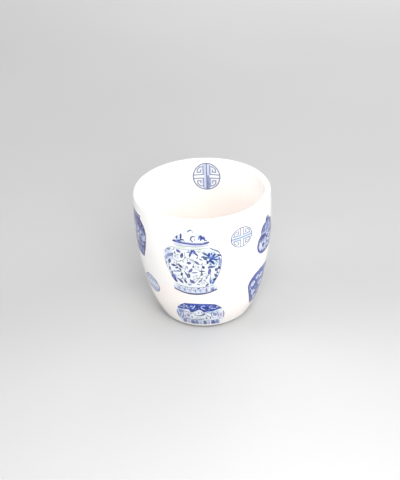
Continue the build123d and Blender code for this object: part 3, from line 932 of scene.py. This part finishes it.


class Nodes:
    """A material's node tree, with short ways to add the nodes used here."""

    def __init__(self, name, roughness):
        self.material = bpy.data.materials.new(name)
        self.material.use_nodes = True
        self.tree = self.material.node_tree
        self.shader = self.tree.nodes["Principled BSDF"]
        self.shader.inputs["Roughness"].default_value = roughness
        self.place = self.tree.nodes.new("ShaderNodeTexCoord").outputs["Object"]

    def link(self, output, node, socket):
        self.tree.links.new(output, node.inputs[socket])

    def add(self, kind, **values):
        """A node of a kind, with input values by name. An underscore stands for a space."""
        node = self.tree.nodes.new("ShaderNode" + kind)
        for socket, value in values.items():
            node.inputs[socket.replace("_", " ")].default_value = value
        return node

    def noise(self, scale, detail, roughness=0.5):
        node = self.add("TexNoise", Scale=scale, Detail=detail, Roughness=roughness)
        self.link(self.place, node, "Vector")
        return node.outputs["Fac"]

    def ramp(self, value, low, high, first, second):
        node = self.add("ValToRGB")
        node.color_ramp.elements[0].position = low
        node.color_ramp.elements[1].position = high
        node.color_ramp.elements[0].color = first
        node.color_ramp.elements[1].color = second
        self.link(value, node, "Fac")
        return node.outputs["Color"]

    def mix(self, factor, first, second):
        node = self.add("Mix")
        node.data_type = "RGBA"
        self.link(factor, node, "Factor")
        self.link(first, node, "A")
        self.link(second, node, "B")
        return node.outputs["Result"]

    def spread(self, value, **ends):
        """The value mapped on to other ends: From_Min, From_Max, To_Min, To_Max."""
        node = self.add("MapRange", **ends)
        self.link(value, node, "Value")
        return node.outputs["Result"]

    def bump(self, height, distance):
        node = self.add("Bump", Distance=distance)
        self.link(height, node, "Height")
        self.link(node.outputs["Normal"], self.shader, "Normal")


def grey_value(value):
    return (value, value, value, 1.0)


def gloss(m, sheen, roughness, ripple, rise):
    """A fired gloss surface. `sheen` and `ripple` are the noises that its roughness and its
    height in metres, `rise`, vary with."""
    low, high = roughness
    m.link(m.spread(m.noise(*sheen), To_Min=low, To_Max=high), m.shader, "Roughness")
    m.bump(m.noise(*ripple), rise)
    m.shader.inputs["IOR"].default_value = PORCELAIN_IOR
    return m.material


def drift(m, scale, first, second):
    """A faint, slow drift between two colours."""
    return m.ramp(m.noise(scale, 2), 0.35, 0.65, (*first, 1), (*second, 1))


def glaze_material():
    """White gloss glaze: a faint drift of tone, and slightly uneven."""
    m = Nodes("porcelain_glaze", 0.09)
    m.link(drift(m, 22, (0.888, 0.868, 0.848), (0.898, 0.884, 0.868)), m.shader, "Base Color")
    return gloss(m, *GLAZE_GLOSS)


def inner_glaze_material():
    """The same glaze inside the cup, painted a little paler than outside as painted light, and turning
    warmer and a little darker towards the well as painted shade.
    """
    m = Nodes("porcelain_glaze_inside", 0.09)
    # painted light: the inside glaze is given a paler colour than the outside's, to brighten the hollow
    clear = drift(m, 22, (0.905, 0.889, 0.872), (0.915, 0.901, 0.887))
    # painted shade: the lower inside wall is coloured a warm, slightly darker tone that fades in with
    # depth
    painted_warm_shade = drift(m, 30, (0.92, 0.86, 0.824), (0.926, 0.870, 0.836))
    axes = m.add("SeparateXYZ")
    m.link(m.place, axes, "Vector")
    painted_shade_mask = m.spread(axes.outputs["Z"], From_Min=PAINTED_SHADE_HEIGHTS[0], From_Max=PAINTED_SHADE_HEIGHTS[1])
    m.link(m.mix(painted_shade_mask, clear, painted_warm_shade), m.shader, "Base Color")
    return gloss(m, *GLAZE_GLOSS)


def biscuit_material():
    """Bare fired porcelain: matt, faintly warm, with a fine tooth and a few dark grains."""
    m = Nodes("biscuit", 0.62)
    body = m.ramp(m.noise(260, 5), 0.3, 0.7, (0.74, 0.70, 0.63, 1), (0.83, 0.80, 0.75, 1))
    m.link(body, m.shader, "Base Color")
    m.link(m.spread(m.noise(900, 4), To_Min=0.5, To_Max=0.75), m.shader, "Roughness")
    m.bump(m.noise(2400, 4), 0.00004)
    return m.material


def tone_material(name, pale, dark):
    """Fired transfer colour: pools darker in soft patches, with the fine dots of the print."""
    m = Nodes("transfer_" + name, 0.14)
    pooled = m.ramp(m.noise(420, 4, 0.6), 0.36, 0.68, linear(pale, INK_DEPTH), linear(dark, INK_DEPTH))
    m.link(pooled, m.shader, "Base Color")
    return gloss(m, (700, 2), (0.1, 0.2), (1500, 2), 0.000008)


def backdrop_material():
    m = Nodes("backdrop_paper", 0.75)
    sheet = m.ramp(m.noise(3, 2), 0.3, 0.7, grey_value(0.465), grey_value(0.485))
    m.link(sheet, m.shader, "Base Color")
    m.shader.inputs["Specular IOR Level"].default_value = 0.2
    return m.material


TONE_MATERIALS = {name: tone_material(name, *pair) for name, pair in TONES.items()}


# --- the decals ---
def add_decals():
    drawings = {
        "ginger_jar": draw_ginger_jar,
        "fish_bowl": draw_fish_bowl,
        "round_pot": draw_round_pot,
        "prunus_vase": draw_prunus_vase,
        "baluster_jar": draw_baluster_jar,
    }
    for name, place in PLACES.items():
        motif, where = name.split("_decal_")
        if motif != "fret_round":
            art = drawings[motif]()
        elif where == "inside":
            art = draw_fret(INNER_FRET_RADII, 0, "ground", "line", "steel", ("wash", "pale", "soft"))
        elif place[1] < UPPER_ROW:
            art = draw_fret(FRET_RADII, 90, "wash", "line", "line", ("ground", "ground", "ground"))
        else:
            art = draw_fret(FRET_RADII, 90, "ground", "slate", "slate", ("pale", "wash", "pale"))
        add_film(name, art, INSIDE if where == "inside" else OUTSIDE, place)


# --- stage, light and camera ---
def add_floor():
    """A pale sheet that the cup stands on, swept up far behind."""
    half, near, far, rise, radius = 1.6, -1.2, 1.9, 1.4, 0.5
    profile = [(near, 0.0), (far - radius, 0.0)]
    for i in range(1, 13):
        a = math.pi / 2 * i / 12
        profile.append((far - radius + radius * math.sin(a), radius - radius * math.cos(a)))
    profile.append((far, rise))
    vertices = [(x, y, z) for y, z in profile for x in (-half, half)]
    faces = [(2 * i, 2 * i + 1, 2 * i + 3, 2 * i + 2) for i in range(len(profile) - 1)]
    floor = add_piece("floor", vertices, faces, [backdrop_material()])


def add_area_light(name, place, target, size, power):
    """A square soft box, `size` metres wide, that faces its target."""
    light = bpy.data.lights.new(name, "AREA")
    light.shape = "SQUARE"
    light.size = size
    light.energy = power
    lamp = bpy.data.objects.new(name, light)
    bpy.context.scene.collection.objects.link(lamp)
    lamp.location = place
    lamp.rotation_euler = (Vector(target) - Vector(place)).to_track_quat("-Z", "Y").to_euler()


def add_lights():
    """An even white room, soft boxes around and above the cup, and four that face the floor."""
    world = bpy.data.worlds.new("studio")
    world.use_nodes = True
    room = world.node_tree.nodes["Background"].inputs
    room["Color"].default_value = (1.0, 1.0, 1.0, 1)
    room["Strength"].default_value = 0.47
    bpy.context.scene.world = world
    cup = (0, 0, 0.04)
    for name, place, target, size, power in (
            ("front_box", (0.22, -0.95, 0.42), cup, 0.4, 2.5),
            ("front_right_box", (0.6, -0.6, 0.7), cup, 0.6, 2.0),
            ("right_box", (1.0, 0.0, 0.6), cup, 0.6, 3.8),
            ("left_box", (-1.0, 0.0, 0.6), cup, 0.6, 4.4),
            ("overhead_box", (-0.05, -0.1, 0.9), cup, 0.5, 1.2),
            ("near_floor_box", (0.08, -0.36, 0.5), (0.08, -0.36, 0.0), 0.3, 1.25),
            ("foot_box", (0.03, -0.2, 0.2), (0.03, -0.13, 0.0), 0.1, 0.22),
            ("far_floor_box", (0.0, 1.3, 0.8), (0.0, 1.3, 0.0), 0.8, 6.6),
            ("far_right_floor_box", (0.5, 1.0, 0.8), (0.5, 1.0, 0.0), 0.8, 4.8)):
        add_area_light(name, place, target, size, power)


def add_camera():
    """Looks down on the rim from the front, with a slight roll."""
    distance, elevation = 0.4538, math.radians(27.55)
    pitch, yaw, roll = math.radians(31.45), math.radians(-0.33), math.radians(2.5)
    rim = Vector((0, 0, cad_box[1].z))
    place = rim + Vector((0, -math.cos(elevation), math.sin(elevation))) * distance
    forward = Vector((math.sin(yaw) * math.cos(pitch), math.cos(yaw) * math.cos(pitch),
                      -math.sin(pitch)))
    right = forward.cross(Vector((0, 0, 1))).normalized()
    up = right.cross(forward)
    rolled_right = right * math.cos(roll) - up * math.sin(roll)
    rolled_up = right * math.sin(roll) + up * math.cos(roll)
    data = bpy.data.cameras.new("camera")
    data.lens = 58.5
    data.sensor_width = 36.0
    data.clip_start, data.clip_end = 0.01, 20.0
    camera = bpy.data.objects.new("camera", data)
    bpy.context.scene.collection.objects.link(camera)
    rotation = Matrix((rolled_right, rolled_up, -forward)).transposed().to_4x4()
    camera.matrix_world = Matrix.Translation(place) @ rotation
    bpy.context.scene.camera = camera


# --- putting it together ---
bpy.context.scene.view_settings.view_transform = "Standard"
add_camera()
add_lights()
add_floor()

glaze_look = glaze_material()
add_glaze(glaze_look, inner_glaze_material())
for node, look in (("cup_body", biscuit_material()), ("underside_glaze", glaze_look)):
    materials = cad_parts[node].data.materials
    materials.clear()
    materials.append(look)
add_decals()
